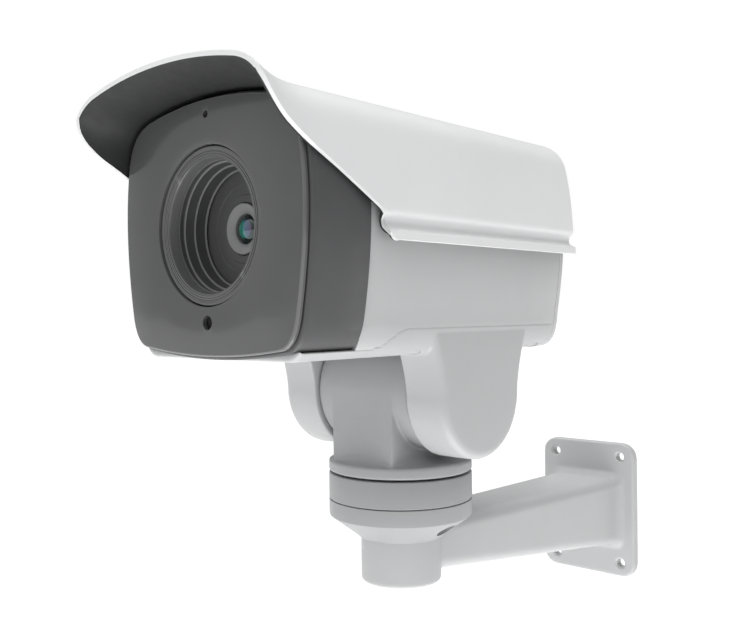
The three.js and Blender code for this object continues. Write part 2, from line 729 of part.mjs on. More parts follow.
// Outer and inner line of the right half of the sunshield's section, from its foot up to the crown.
function shadeHalf() {
  const outer = new THREE.Path();
  outer.moveTo(62.2, SHADE.foot + 0.6);
  outer.lineTo(62.2, 69.2);
  outer.quadraticCurveTo(58.4, 69.6, 58.4, 72);
  outer.quadraticCurveTo(58.4, 74.6, 61, 75.4);
  outer.quadraticCurveTo(60.4, 92, 57.4, 106);
  outer.quadraticCurveTo(55.2, 118.6, 42, 122.2);
  outer.quadraticCurveTo(22, 126.9, 0, 126.9);
  const inner = new THREE.Path();
  inner.moveTo(56.6, SHADE.foot + 0.6);
  inner.lineTo(56.6, 69.2);
  inner.quadraticCurveTo(56.6, 70.6, 56.6, 72);
  inner.quadraticCurveTo(57, 75.2, 59, 76.4);
  inner.quadraticCurveTo(58.4, 92, 55.5, 105.4);
  inner.quadraticCurveTo(53.4, 116.8, 41.4, 120.2);
  inner.quadraticCurveTo(22, 124.9, 0, 124.9);
  const points = (path) => path.getPoints(4).map((point) => [point.x, point.y]);
  return { outer: points(outer), inner: points(inner) };
}

function shadeRing(y) {
  const flare = Math.max(0, (SHADE.flareFrom - y) / (SHADE.flareFrom - SHADE.tip)) ** 2;
  const { outer, inner } = shadeHalf();
  const both = (half) => [...half, ...half.slice(0, -1).reverse().map(([x, z]) => [-x, z])];
  return [...both(outer), ...both(inner).reverse()].map(([x, z]) => [
    x * (1 + SHADE.flareX * flare),
    y,
    SHADE.foot + (z - SHADE.foot) * (1 + SHADE.flareZ * flare),
  ]);
}

// The sunshield from the side: square at the rear, swept back under the peak at the front.
function shadeSide() {
  const { rear, tip, foot } = SHADE;
  const shape = new THREE.Shape();
  shape.moveTo(rear, foot);
  shape.lineTo(-72, foot);
  shape.quadraticCurveTo(-77, foot, -77.5, 69);
  shape.quadraticCurveTo(-78, 75, -82, 77.5);
  shape.lineTo(-127, 104);
  shape.quadraticCurveTo(tip + 2, 111, tip, 121);
  shape.lineTo(tip + 0.4, 140);
  shape.lineTo(rear, 140);
  return shape;
}

function sunshield() {
  const stations = [SHADE.rear, SHADE.flareFrom, -121, -130.5, SHADE.tip];
  const shell = loft(stations.map(shadeRing), true);
  return shell.intersect(slabX(shadeSide(), -70, 70, { curve: 5 }));
}

part(head, "sunshield", sunshield(), MATERIALS.white);

const GUIDE_SPAN = [-74, 52];
for (const [name, side] of [["shade_guide_right", 1], ["shade_guide_left", -1]]) {
  const x = side * 30;
  part(head, name, block([x - 3, GUIDE_SPAN[0], 120.3], [x + 3, GUIDE_SPAN[1], 121.9]), MATERIALS.black);
}

export default camera;
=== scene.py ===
import json
import math

import bmesh
import bpy
from mathutils import Matrix, Vector

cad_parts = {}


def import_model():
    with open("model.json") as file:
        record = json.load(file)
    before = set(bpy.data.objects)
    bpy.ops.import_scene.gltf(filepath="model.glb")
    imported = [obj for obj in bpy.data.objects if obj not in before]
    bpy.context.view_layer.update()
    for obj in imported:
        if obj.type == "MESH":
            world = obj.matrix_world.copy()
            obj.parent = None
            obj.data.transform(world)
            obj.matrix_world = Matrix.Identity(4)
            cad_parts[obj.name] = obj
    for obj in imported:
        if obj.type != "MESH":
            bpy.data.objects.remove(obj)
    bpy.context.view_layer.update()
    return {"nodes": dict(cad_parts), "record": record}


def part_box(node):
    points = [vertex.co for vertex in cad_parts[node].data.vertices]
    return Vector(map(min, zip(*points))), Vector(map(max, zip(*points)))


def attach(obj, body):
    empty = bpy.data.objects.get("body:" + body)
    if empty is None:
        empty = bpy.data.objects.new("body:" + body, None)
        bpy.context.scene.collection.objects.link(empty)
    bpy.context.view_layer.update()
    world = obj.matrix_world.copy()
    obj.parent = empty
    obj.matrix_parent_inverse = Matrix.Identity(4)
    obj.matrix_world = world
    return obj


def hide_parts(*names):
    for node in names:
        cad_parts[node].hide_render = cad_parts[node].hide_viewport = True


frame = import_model()
NODES = frame["nodes"]
JOINTS = {joint["name"]: joint for joint in frame["record"]["behaviour"]["joints"]}
MM = 1000

# ---- Places taken from the frame, in millimetres ----

PAN = [MM * value for value in JOINTS["pan"]["pos_m"]]
TILT = [MM * value for value in JOINTS["tilt"]["pos_m"]]


def spans(node):
    """The node's lowest and highest corners at rest, in millimetres."""
    low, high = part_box(node)
    return [MM * value for value in low], [MM * value for value in high]


BASE = (PAN[0], PAN[1], PAN[2])  # the pan axis at the joint line
HEAD = (TILT[0], TILT[1], TILT[2])  # the tilt axis
WALL = (0, 0, 0)
LENS_Z = 72.3  # the lens axis above the tilt axis
WINDOW_FRONT = spans("front_window")[0][1] - HEAD[1]
BEZEL_FRONT = spans("front_bezel")[0][1] - HEAD[1]
BEZEL_REAR = spans("front_bezel")[1][1] - HEAD[1]
HOUSING_REAR = spans("housing")[1][1] - HEAD[1]
HEAD_REAR = spans("rear_cover")[1][1] - HEAD[1]
SHADE_TIP = spans("sunshield")[0][1] - HEAD[1]
SHADE_REAR = spans("sunshield")[1][1] - HEAD[1]
SHADE_FOOT = spans("sunshield")[0][2] - HEAD[2]
BOSS_BOTTOM = -53.7
LENS_FRONT = spans("lens_retainer")[0][1] - HEAD[1]

# ---- Materials ----


class Nodes:
    """A material's node tree, with short ways to add and join nodes."""

    def __init__(self, name):
        self.material = bpy.data.materials.new(name)
        self.material.use_nodes = True
        self.tree = self.material.node_tree
        self.shader = self.tree.nodes["Principled BSDF"]
        self.place = self.add("ShaderNodeTexCoord").outputs["Object"]

    def add(self, kind, **values):
        node = self.tree.nodes.new(kind)
        for key, value in values.items():
            setattr(node, key, value)
        return node

    def link(self, a, b):
        self.tree.links.new(a, b)

    def noise(self, scale, detail=3.0, stretch=(1, 1, 1), roughness=0.55):
        mapping = self.add("ShaderNodeMapping")
        mapping.inputs["Scale"].default_value = stretch
        self.link(self.place, mapping.inputs["Vector"])
        node = self.add("ShaderNodeTexNoise")
        node.inputs["Scale"].default_value = scale
        node.inputs["Detail"].default_value = detail
        node.inputs["Roughness"].default_value = roughness
        self.link(mapping.outputs["Vector"], node.inputs["Vector"])
        return node.outputs["Fac"]

    def spread(self, value, low, high, start=0.3, end=0.7):
        node = self.add("ShaderNodeMapRange")
        node.inputs["From Min"].default_value = start
        node.inputs["From Max"].default_value = end
        node.inputs["To Min"].default_value = low
        node.inputs["To Max"].default_value = high
        self.link(value, node.inputs["Value"])
        return node.outputs["Result"]

    def blend(self, factor, a, b):
        node = self.add("ShaderNodeMix", data_type="RGBA")
        self.link(factor, node.inputs["Factor"])
        for socket, value in ((node.inputs[6], a), (node.inputs[7], b)):
            if isinstance(value, tuple):
                socket.default_value = (*value, 1)
            else:
                self.link(value, socket)
        return node.outputs[2]

    def bump(self, height, strength, distance):
        node = self.add("ShaderNodeBump")
        node.inputs["Strength"].default_value = strength
        node.inputs["Distance"].default_value = distance
        self.link(height, node.inputs["Height"])
        self.link(node.outputs["Normal"], self.shader.inputs["Normal"])

    def set(self, **values):
        for key, value in values.items():
            self.shader.inputs[key.replace("_", " ")].default_value = value


def paint(name, colour, shade, rough, grain=0.10, coat=0.0, edge_wear_and_highlight=None):
    """Painted or moulded surface: slow tint drift, a fine orange-peel grain and lighter convex edges, partly
    edge wear and partly painted highlight.
    """
    made = Nodes(name)
    drift = made.spread(made.noise(22), 0, 1)
    tint = made.blend(drift, colour, shade)
    if edge_wear_and_highlight:
        # convex edges lightened: partly edge wear, partly a painted highlight
        edge = made.spread(made.add("ShaderNodeNewGeometry").outputs["Pointiness"], 0, 0.55, 0.52, 0.60)
        tint = made.blend(edge, tint, edge_wear_and_highlight)
    made.link(tint, made.shader.inputs["Base Color"])
    made.link(made.spread(made.noise(160), rough[0], rough[1]), made.shader.inputs["Roughness"])
    made.bump(made.noise(1500, 2), grain, 0.0002)
    if coat:
        made.set(Coat_Weight=coat, Coat_Roughness=0.12)
    return made.material


def metal(name, colour, shade, rough, stretch):
    """Turned or brushed metal: streaks across its length."""
    made = Nodes(name)
    streak = made.noise(900, 4, stretch)
    made.link(made.blend(made.spread(streak, 0, 1), colour, shade), made.shader.inputs["Base Color"])
    made.link(made.spread(streak, rough[0], rough[1]), made.shader.inputs["Roughness"])
    made.bump(streak, 0.08, 0.0002)
    made.set(Metallic=1.0)
    return made.material


def smoked():
    """The window: polished, near opaque, with a faint haze."""
    made = Nodes("smoked_window")
    made.link(made.blend(made.spread(made.noise(30), 0, 1), (0.094, 0.095, 0.097), (0.100, 0.101, 0.102)),
              made.shader.inputs["Base Color"])
    made.link(made.spread(made.noise(70), 0.16, 0.22), made.shader.inputs["Roughness"])
    made.bump(made.noise(60, 1), 0.02, 0.0002)
    made.set(IOR=1.45, Coat_Weight=0.12, Coat_Roughness=0.05)
    return made.material


def lens_painted_coating_reflection():
    """The front lens: dark glass with a small coated middle whose coloured reflection, from teal to violet, is
    painted in.
    """
    made = Nodes("lens_painted_coating_reflection")
    centre = Vector((HEAD[0], HEAD[1] + LENS_FRONT, HEAD[2] + LENS_Z)) / MM
    offset = made.add("ShaderNodeVectorMath", operation="SUBTRACT")
    made.link(made.place, offset.inputs[0])
    offset.inputs[1].default_value = centre
    length = made.add("ShaderNodeVectorMath", operation="LENGTH")
    made.link(offset.outputs["Vector"], length.inputs[0])
    split = made.add("ShaderNodeSeparateXYZ")
    made.link(offset.outputs["Vector"], split.inputs[0])
    ramp = made.add("ShaderNodeValToRGB")
    stops = [
        (0.0, (0.03, 0.20, 0.15)),
        (0.35, (0.06, 0.30, 0.24)),
        (0.6, (0.10, 0.14, 0.26)),
        (1.0, (0.26, 0.08, 0.22)),
    ]
    ramp.color_ramp.elements[0].color = (*stops[0][1], 1)
    ramp.color_ramp.elements[1].color = (*stops[-1][1], 1)
    for place, colour in stops[1:-1]:
        ramp.color_ramp.elements.new(place).color = (*colour, 1)
    # the coating's coloured reflection painted in, sweeping across the lens from left to right
    reflection_sweep = made.add("ShaderNodeMath", operation="ADD")
    made.link(made.spread(split.outputs["X"], 0, 1, -0.0038, 0.0038), reflection_sweep.inputs[0])
    made.link(made.spread(made.noise(260), -0.12, 0.12), reflection_sweep.inputs[1])
    made.link(reflection_sweep.outputs[0], ramp.inputs["Fac"])
    iris = made.spread(length.outputs["Value"], 0, 1, 0.0036, 0.0044)
    tint = made.blend(iris, ramp.outputs["Color"], (0.008, 0.008, 0.009))
    made.link(tint, made.shader.inputs["Base Color"])
    made.link(made.spread(made.noise(90), 0.02, 0.05), made.shader.inputs["Roughness"])
    made.set(IOR=1.7, Coat_Weight=1.0, Coat_Roughness=0.01, Coat_Tint=(0.6, 0.9, 0.85, 1))
    return made.material


def board():
    """Circuit board: green mask over a faint grid of tracks."""
    made = Nodes("circuit_board")
    tracks = made.add("ShaderNodeTexBrick")
    tracks.inputs["Scale"].default_value = 160
    made.link(made.place, tracks.inputs["Vector"])
    tint = made.blend(tracks.outputs["Fac"], (0.02, 0.10, 0.045), (0.05, 0.19, 0.08))
    made.link(tint, made.shader.inputs["Base Color"])
    made.link(made.spread(made.noise(200), 0.4, 0.6), made.shader.inputs["Roughness"])
    made.bump(tracks.outputs["Fac"], 0.1, 0.0002)
    return made.material


# the shells' white: the white paint dimmed well below the sunshield's copy, partly painted shade
WHITE = paint(
    "white_paint", (0.50, 0.505, 0.51), (0.48, 0.485, 0.49), (0.34, 0.44), 0.08, coat=0.15,
    edge_wear_and_highlight=(0.82, 0.82, 0.82))
# the brightest copy of the white paint; the shell, casting and turret copies are dimmed for painted shade
SHADE_WHITE = paint(
    "sunshield_paint", (0.83, 0.835, 0.84), (0.805, 0.81, 0.815), (0.36, 0.46), 0.08, coat=0.15,
    edge_wear_and_highlight=(0.85, 0.85, 0.85))
# the bracket's white: the white paint dimmed, partly painted shade
CASTING = paint(
    "casting_paint_with_painted_shade", (0.52, 0.525, 0.53), (0.50, 0.505, 0.51), (0.38, 0.5), 0.14, coat=0.1,
    edge_wear_and_highlight=(0.76, 0.76, 0.76))
# the turret's white: the casting white darkened further, painted shade under the head
TURRET = paint("turret_painted_shade", (0.38, 0.385, 0.39), (0.36, 0.365, 0.37), (0.38, 0.5), 0.14, coat=0.1)
# near black, for the sunshield's inner faces
UNDERSIDE_DARK = paint("sunshield_underside_dark", (0.024, 0.0245, 0.025), (0.020, 0.0205, 0.021), (0.5, 0.62), 0.15)
BEZEL = paint("bezel_plastic", (0.085, 0.086, 0.088), (0.072, 0.073, 0.075), (0.36, 0.46), 0.16)
TRIM = paint(
    "lens_trim_plastic", (0.10, 0.101, 0.103), (0.088, 0.089, 0.09), (0.28, 0.36), 0.08, coat=0.3,
    edge_wear_and_highlight=(0.22, 0.22, 0.22))
RECESS = paint(
    "lens_recess_plastic", (0.085, 0.086, 0.087), (0.07, 0.071, 0.072), (0.38, 0.46), 0.08,
    edge_wear_and_highlight=(0.30, 0.30, 0.30))
BLACK = paint("black_plastic", (0.006, 0.006, 0.006), (0.010, 0.010, 0.010), (0.5, 0.6), 0.12)
RUBBER = paint("seal_rubber", (0.012, 0.012, 0.012), (0.02, 0.02, 0.02), (0.7, 0.85), 0.3)
RETAINER = paint("lens_retainer_plastic", (0.30, 0.30, 0.303), (0.26, 0.26, 0.263), (0.4, 0.5), 0.1)
NYLON = paint("gear_nylon", (0.62, 0.59, 0.49), (0.55, 0.52, 0.43), (0.5, 0.6), 0.12)
STEEL = metal("steel", (0.56, 0.56, 0.57), (0.46, 0.46, 0.47), (0.25, 0.4), (1, 1, 0.1))
BRASS = metal("brass", (0.66, 0.53, 0.26), (0.55, 0.43, 0.2), (0.25, 0.4), (1, 1, 0.1))
WINDOW = smoked()
# a lighter copy of the window colour for its bevel: painted highlight
WINDOW_BEVEL_HIGHLIGHT = paint("window_bevel_painted_highlight", (0.16, 0.161, 0.164), (0.14, 0.141, 0.143), (0.14, 0.2), 0.03, coat=0.5)
MASK = paint("lens_mask_plastic", (0.10, 0.101, 0.102), (0.088, 0.089, 0.09), (0.5, 0.6), 0.08)
# a lighter copy of the recess plastic for the step rims: painted highlight
RIM = paint("recess_rim_painted_highlight", (0.26, 0.26, 0.265), (0.22, 0.22, 0.225), (0.3, 0.4), 0.06)
LENS = lens_painted_coating_reflection()
BOARD = board()

# ---- Mesh building, in millimetres about an origin ----


class Skin:
    """Vertices and faces about an origin, gathered from rings and turned profiles."""

    def __init__(self, origin):
        self.origin = origin
        self.verts = []
        self.faces = []
        self.marks = []

    def add(self, points):
        start = len(self.verts)
        for point in points:
            self.verts.append(tuple((value + shift) / MM for value, shift in zip(point, self.origin)))
        return start

    def face(self, corners, mark=0):
        self.faces.append(tuple(corners))
        self.marks.append(mark)

    def loft(self, rings, caps=True, marks=None):
        """A skin over rings of the same length; caps closes both ends with a flat face."""
        count = len(rings[0])
        starts = [self.add(ring) for ring in rings]
        for a, b in zip(starts, starts[1:]):
            for i in range(count):
                j = (i + 1) % count
                self.face((a + i, a + j, b + j, b + i), marks[i] if marks else 0)
        if caps:
            self.face([starts[0] + i for i in reversed(range(count))])
            self.face([starts[-1] + i for i in range(count)])
        return self

    def turn(self, axis, profile, centre=(0, 0), sides=96, marks=None):
        """A closed profile of (radius, place) pairs turned about an axis through centre."""
        rings = []
        for radius, place in profile:
            ring = []
            for k in range(sides):
                angle = 2 * math.pi * k / sides
                c, s = radius * math.cos(angle) + centre[0], radius * math.sin(angle) + centre[1]
                ring.append({"x": (place, c, s), "y": (c, place, s), "z": (c, s, place)}[axis])
            rings.append(ring)
        tips = [i for i, (radius, place) in enumerate(profile) if radius == 0]
        starts = [self.add(rings[i][:1] if i in tips else rings[i]) for i in range(len(profile))]
        for i in range(len(profile)):
            j = (i + 1) % len(profile)
            a, b, mark = starts[i], starts[j], marks[i] if marks else 0
            if i in tips and j in tips:
                continue
            for k in range(sides):
                n = (k + 1) % sides
                if i in tips:
                    self.face((a, b + n, b + k), mark)
                elif j in tips:
                    self.face((a + k, a + n, b), mark)
                else:
                    self.face((a + k, a + n, b + n, b + k), mark)
        return self

    def object(self, name, materials, angle=32):
        mesh = bpy.data.meshes.new(name)
        mesh.from_pydata(self.verts, [], self.faces)
        for material in materials:
            mesh.materials.append(material)
        for polygon, mark in zip(mesh.polygons, self.marks):
            polygon.material_index = mark
        shell = bmesh.new()
        shell.from_mesh(mesh)
        bmesh.ops.remove_doubles(shell, verts=shell.verts, dist=1e-7)
        bmesh.ops.recalc_face_normals(shell, faces=shell.faces)
        shell.to_mesh(mesh)
        shell.free()
        made = bpy.data.objects.new(name, mesh)
        bpy.context.scene.collection.objects.link(made)
        smooth(made, angle)
        return made


def smooth(made, angle=32):
    """Round shading, kept crisp at edges sharper than the angle."""
    made.data.polygons.foreach_set("use_smooth", [True] * len(made.data.polygons))
    made.data.set_sharp_from_angle(angle=math.radians(angle))


def settle(made):
    """Applies the object's modifiers to its mesh."""
    bpy.context.view_layer.update()
    evaluated = made.evaluated_get(bpy.context.evaluated_depsgraph_get())
    mesh = bpy.data.meshes.new_from_object(evaluated)
    made.modifiers.clear()
    made.data = mesh


def cut(made, *tools, angle=32):
    """Takes the tools out of the object, then throws them away."""
    for tool in tools:
        modifier = made.modifiers.new("cut", "BOOLEAN")
        modifier.operation = "DIFFERENCE"
        modifier.object = tool
        modifier.solver = "EXACT"
    settle(made)
    for tool in tools:
        bpy.data.objects.remove(tool)
    smooth(made, angle)
    return made


def melt(made, size, passes):
    """Runs a casting's overlapping solids into one skin, with small fillets where they meet."""
    remesh = made.modifiers.new("melt", "REMESH")
    remesh.mode = "VOXEL"
    remesh.voxel_size = size / MM
    soften = made.modifiers.new("soften", "SMOOTH")
    soften.factor = 0.5
    soften.iterations = passes
    settle(made)
    made.data.polygons.foreach_set("use_smooth", [True] * len(made.data.polygons))
    return made


def bar(axis, radius, start, end, centre, origin, sides=48):
    """A round bar to cut with, from start to end along an axis."""
    profile = [(0, start), (radius, start), (radius, end), (0, end)]
    return Skin(origin).turn(axis, profile, centre, sides).object("tool", [])


def piece(made, body, slot, *nodes):
    """Fixes a finished piece to its body and hides the CAD nodes that it stands for. The slot is not used."""
    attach(made, body)
    if nodes:
        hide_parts(*nodes)
    return made


def curve(points, steps=10):
    """Points along joined quadratic curves: start, then control and end for each."""
    out = [points[0]]
    for k in range(1, len(points) - 1, 2):
        a, b, c = points[k - 1], points[k], points[k + 1]
        for step in range(1, steps + 1):
            t = step / steps
            out.append(tuple((1 - t) ** 2 * p + 2 * t * (1 - t) * q + t * t * r for p, q, r in zip(a, b, c)))
    return out


def even(points, count):
    """The same line through count points, evenly spaced along it."""
    lengths = [0]
    for a, b in zip(points, points[1:]):
        lengths.append(lengths[-1] + math.dist(a, b))
    out, k = [], 0
    for step in range(count):
        want = lengths[-1] * step / (count - 1)
        while k < len(points) - 2 and lengths[k + 1] < want:
            k += 1
        share = (want - lengths[k]) / max(1e-9, lengths[k + 1] - lengths[k])
        out.append(tuple(p + (q - p) * share for p, q in zip(points[k], points[k + 1])))
    return out


def rounded(width, height, radius, centre=(0, 0), steps=8):
    """A rectangle with round corners, as a ring of (x, z)."""
    out = []
    for corner, (sx, sz) in enumerate(((1, 1), (-1, 1), (-1, -1), (1, -1))):
        for step in range(steps + 1):
            angle = math.pi / 2 * (corner + step / steps)
            out.append((centre[0] + sx * (width / 2 - radius) + radius * math.cos(angle),
                        centre[1] + sz * (height / 2 - radius) + radius * math.sin(angle)))
    return out


# ---- Wall bracket ----


ARM_RADIUS = 6  # the round edges of the arm's box section
BOSS_TOP = -24.5
HOLES = [(x, z) for x in (-22.6, 22.6) for z in (-33.6, 33.6)]


def bracket():
    wide, _, tall = spans("wall_bracket")[1]
    skin = Skin(WALL)
    plate = [(0, 0.6), (-0.6, 0), (-5.0, 0), (-5.7, 0.4), (-6, 1.2)]
    rings = []
    for y, inset in plate:
        ring = rounded(2 * (wide - inset), 2 * (tall - inset), 9 - inset)
        rings.append([(x, y, z) for x, z in ring])
    skin.loft(rings)
    # the arm as (y, half width, bottom, top) at the wall and at the boss
    ends = (-11, 22, -21.5, 20.5), (PAN[1] + 8, 16, 0.5, 24.5)

    def at(y, spread=0, inset=0):
        share = max(0, (y - ends[0][0]) / (ends[1][0] - ends[0][0]))
        half, bottom, top = (a + (b - a) * share for a, b in zip(ends[0][1:], ends[1][1:]))
        half, bottom, top = half + spread, bottom - spread, top + spread
        radius = max(2, ARM_RADIUS - inset)
        ring = rounded(2 * (half - inset), top - bottom - 2 * inset, radius, (0, (top + bottom) / 2))
        return [(x, y, z) for x, z in ring]

    # the arm spreads in a small curve where it meets the plate
    foot = [(-3, 3.6), (-6, 3.5), (-7, 2.1), (-8.5, 1.1), (-10.5, 0.4), (-13, 0)]
    skin.loft([at(y, spread) for y, spread in foot] + [at(y) for y in (-60, -120, ends[1][0] - 6)])
    boss = [(0, BOSS_BOTTOM), (18.4, BOSS_BOTTOM), (19.2, BOSS_BOTTOM + 0.4), (19.6, BOSS_BOTTOM + 1.2)]
    skin.origin = BASE
    skin.turn("z", boss + [(19.6, BOSS_TOP), (0, BOSS_TOP)])
    made = melt(skin.object("bracket_casting", [CASTING]), 0.8, 3)
    tools = [Skin(WALL).loft([at(y, 0, 3.2) for y in (1, -60, -120, PAN[1] + 10)]).object("tool", [])]
    tools.append(bar("z", 14.5, BOSS_BOTTOM + 4, -20, (0, 0), BASE))
    screw_hole = [(0, -8), (3.9, -8), (3.9, -6.02), (2.75, -5.0), (2.75, 2), (0, 2)]
    for spot in HOLES:
        tools.append(Skin(WALL).turn("y", screw_hole, spot, 40).object("tool", []))
    return cut(made, *tools, angle=40)


piece(bracket(), "bracket", "casting_white", "wall_bracket")

# ---- Base: collar, seal and ring ----


def lathe(name, profile, materials, axis="z", origin=BASE, centre=(0, 0), sides=128, marks=None):
    return Skin(origin).turn(axis, profile, centre, sides, marks).object(name, materials)


collar = lathe("collar_cone", [
    (34.8, -13.4), (35, -13.6), (35, -20.4), (34.8, -21.1), (34.1, -21.7), (22.3, -30.4), (21.6, -31.2),
    (20.9, -31.8), (20, -31.8), (20, -24), (30, -20), (30, -13.4), (31.2, -13.4), (31.2, -15.2), (33.4, -15.2),
    (33.4, -13.4),
], [TURRET])
CONE_SPOT = (27.8, 0, -26.4)  # the locking screw's place on the cone
CONE_LEAN = 2.51  # the angle of the screw's axis, square to the cone


def on_cone(profile, name, materials, sides=40):
    """A turned piece square to the collar's cone, where its locking screw sits."""
    made = Skin(WALL).turn("y", profile, sides=sides).object(name, materials)
    lean = Matrix.Rotation(CONE_LEAN, 4, "Y") @ Matrix.Rotation(math.pi / 2, 4, "X")
    spot = (Vector(BASE) + Vector(CONE_SPOT)) / MM
    made.data.transform(Matrix.Translation(spot) @ lean)
    return made


cut(collar, on_cone([(0, -7), (4.9, -7), (4.9, 8), (0, 8)], "tool", []))
piece(collar, "bracket", "casting_white", "base_collar")
ring = lathe("ring_upper", [
    (34.2, -0.5), (34.8, -0.7), (35, -1.2), (35, -12.6), (34.7, -13), (30, -13), (30, -0.5),
], [TURRET])
piece(ring, "bracket", "casting_white", "base_ring")
seal = lathe("ring_seal", [(31.5, -13.3), (31.5, -14.9), (33.1, -14.9), (33.1, -13.3)], [RUBBER])
piece(seal, "bracket", "seal_rubber", "base_seal")
socket_screw = [(0, -5.6), (3.9, -5.6), (3.9, -2.4), (3.6, -2), (1.7, -2), (1.7, -4), (0, -4)]
piece(on_cone(socket_screw, "collar_lock_screw", [STEEL]), "bracket", "steel", "collar_screw")

# ---- Turntable: disc, flared column and drum ----


DISC = [(0, 0.5), (34.4, 0.5), (34.9, 0.8), (35, 1.3), (35, 4.8), (34.8, 5.5), (34.2, 5.9), (33.4, 6), (0, 6)]
DRUM = [(0, -28), (26.9, -28), (27.7, -27.7), (28, -27), (28, 27), (27.7, 27.7), (26.9, 28), (0, 28)]


def column(top):
    """A square column whose flat sides flare out to the disc's rim; its corners already reach the rim."""
    half_x, half_y, reach, slope = 19, 28, 34.1, 0.67
    rings = []
    for step in range(13):
        angle = math.pi / 2 * step / 12
        ring = []
        for side in range(144):
            turn = 2 * math.pi * (side + 0.5) / 144
            c, s = math.cos(turn), math.sin(turn)
            box = min(half_x / max(1e-9, abs(c)), half_y / max(1e-9, abs(s)))
            room = max(reach, box) - box
            radius = box + room * (1 - math.sin(angle))
            ring.append((radius * c, radius * s, 5.8 + (0.3 + room * slope) * (1 - math.cos(angle))))
        rings.append(ring)
    for height in (17, top):
        rings.append([(x, y, height) for x, y, z in rings[-1]])
    return rings


def neck():
    axis = TILT[2] - PAN[2]
    skin = Skin(BASE)
    skin.turn("z", DISC, sides=128)
    skin.loft(column(axis))
    skin.turn("x", DRUM, (0, axis), 256)
    return melt(skin.object("turntable_casting", [TURRET]), 0.5, 4)


piece(neck(), "turret", "casting_white", "turntable_neck")

# ---- Head outline and lofts along it ----

# half of the face's outline as (x, z), in joined curves from the bottom to the crown
HALF = [
    (0, 19.2), (21.5, 19.2), (43, 22.3), (50.6, 23.4), (53, 35), (60.6, 76), (54.8, 104), (51.9, 117.2),
    (38, 120), (19, 123.8), (0, 123.8),
]
RIGHT = curve(HALF, 16)
OUTLINE = RIGHT + [(-x, z) for x, z in reversed(RIGHT[1:-1])]

# the white shell's: drawn in a little, with lower corners flush with the tray's sides
SHELL_HALF = [
    (0, 19.6), (20.5, 19.6), (41, 19.6), (49.3, 19.6), (50.9, 32), (51.2, 35), (51.6, 38), (58.1, 76),
    (52.9, 102.9), (50.1, 115.6), (36.7, 118.3), (18.3, 122), (0, 122),
]
SHELL_RIGHT = curve(SHELL_HALF, 16)
SHELL = SHELL_RIGHT + [(-x, z) for x, z in reversed(SHELL_RIGHT[1:-1])]


def outline(scale, y, line=OUTLINE):
    """An outline grown or shrunk about the lens axis, at a place along Y."""
    return [(x * scale, y, LENS_Z + (z - LENS_Z) * scale) for x, z in line]


def along(name, profile, materials, caps=True, line=OUTLINE):
    """A skin along Y: an outline at each (scale, y) of the profile. Without caps it closes on itself."""
    rings = [outline(scale, y, line) for scale, y in profile]
    if not caps:
        rings.append(rings[0])
    return Skin(HEAD).loft(rings, caps).object(name, materials)


housing = along("housing_shell", [
    (0.94, BEZEL_REAR + 0.3), (0.997, BEZEL_REAR + 0.3), (1, BEZEL_REAR + 0.7), (1, -40), (1, 10),
    (1, HOUSING_REAR - 0.5), (0.997, HOUSING_REAR), (0.93, HOUSING_REAR),
], [WHITE], line=SHELL)
piece(housing, "head", "shell_white", "housing")
rear = along("rear_shell", [
    (0.94, HOUSING_REAR + 0.3), (0.997, HOUSING_REAR + 0.3), (1, HOUSING_REAR + 0.8), (1, HEAD_REAR - 1.6),
    (0.997, HEAD_REAR - 0.9), (0.99, HEAD_REAR - 0.4), (0.98, HEAD_REAR - 0.1), (0.965, HEAD_REAR),
    (0.83, HEAD_REAR), (0.82, HEAD_REAR - 0.5), (0.80, HEAD_REAR - 0.5),
], [WHITE], line=SHELL)
piece(rear, "head", "shell_white", "rear_cover")

# ---- Yoke: tray and ears ----


TRAY_RIM = 31.5
TRAY_FLOOR = 19.2
TONGUE_TOP = 23
TRAY_SIDE = curve([(51, TRAY_RIM), (49.4, TRAY_FLOOR), (41, TRAY_FLOOR)], 24)
SWEEP = curve([(-53, TRAY_RIM), (-59.5, 31.1), (-64, 27.4), (-68.5, TONGUE_TOP), (-75, TONGUE_TOP)], 12)


def tray_top(y):
    """The height of the tray's rim: level, then swept down to the thin tongue under the bezel."""
    if y <= SWEEP[-1][0]:
        return TONGUE_TOP
    for (y0, z0), (y1, z1) in zip(SWEEP, SWEEP[1:]):
        if y1 <= y <= y0:
            return z0 + (z1 - z0) * (y - y0) / (y1 - y0)
    return TRAY_RIM


def tray_ring(y, margin=0, sink=0):
    """The tray's section at y, grown by a margin and drawn in by sink."""
    top = tray_top(y) + margin
    side = [(x, z) for x, z in TRAY_SIDE if z <= top]
    above = [(x, z) for x, z in TRAY_SIDE if z > top]
    if above:
        (x0, z0), (x1, z1) = above[-1], side[0]
        side.insert(0, (x0 + (x1 - x0) * (z0 - top) / (z0 - z1), top))
    side = even(side + [(20, TRAY_FLOOR), (0, TRAY_FLOOR)], 30)
    side = [(x + margin - sink, (z - margin if z < top else z) + sink) for x, z in side]
    side[-1] = (0, side[-1][1])
    return [(x, y, z) for x, z in side] + [(-x, y, z) for x, z in reversed(side[:-1])]


def tray(margin, start, end):
    rings = [tray_ring(start, margin, 0.8), tray_ring(start + 0.3, margin, 0.25)]
    rings += [tray_ring(start + (end - start) * k / 90, margin) for k in range(1, 90)]
    rings += [tray_ring(end - 1.2, margin), tray_ring(end - 0.4, margin, 0.5), tray_ring(end, margin, 1.4)]
    return rings


def ear_outline(inset):
    """An ear from the side as (y, z): a round foot about the tilt axis, flanks spreading up into the tray."""
    r = 30 - inset
    front = curve([(38 - inset, 28), (31 - inset, 12), (r, 0)], 14)
    arc = [(r * math.cos(math.pi * k / 48), -r * math.sin(math.pi * k / 48)) for k in range(1, 48)]
    return front + arc + [(-y, z) for y, z in reversed(front)]


